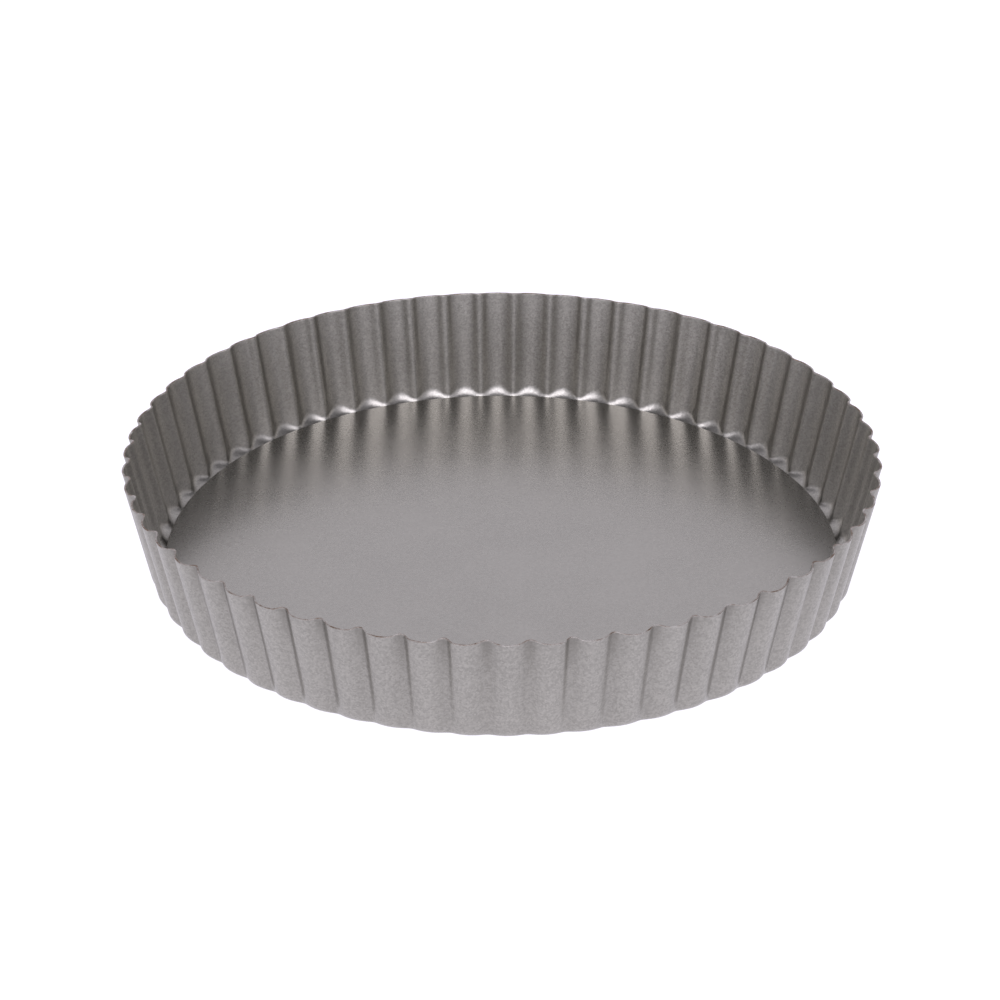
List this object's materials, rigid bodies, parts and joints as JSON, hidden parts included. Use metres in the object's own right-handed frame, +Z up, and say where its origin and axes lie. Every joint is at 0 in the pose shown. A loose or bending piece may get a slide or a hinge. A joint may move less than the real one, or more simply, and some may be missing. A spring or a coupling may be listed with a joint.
{
  "type": "tart pan",
  "caption": "Round fluted tart pan: a flaring, pleated side wall with a rounded foot corner and narrow inner ledge, and a loose flat base disc that lies on the ledge and lifts out.",
  "frame": {"origin": "on the pan's axis, in the plane of the foot that the pan stands on", "axes": "+Z up along the pan's axis, out of its open top; a flute crest points along each of +X, -X, +Y and -Y"},
  "size_m": [0.252, 0.252, 0.0399],
  "materials": {
    "ring_coating": "satin warm grey non-stick coating on thin drawn steel, finely speckled, with bare cut steel along the rim",
    "base_coating": "satin warm grey non-stick coating on flat sheet steel, finely speckled"
  },
  "bodies": {
    "ring": {"fluted_ring": "ring_coating"},
    "base": {"loose_base": "base_coating"}
  },
  "joints": [
    {"name": "base_lift", "type": "slide", "parent": "ring", "child": "base", "axis": [0, 0, 1], "range_m": [0, 0.05]}
  ]
}
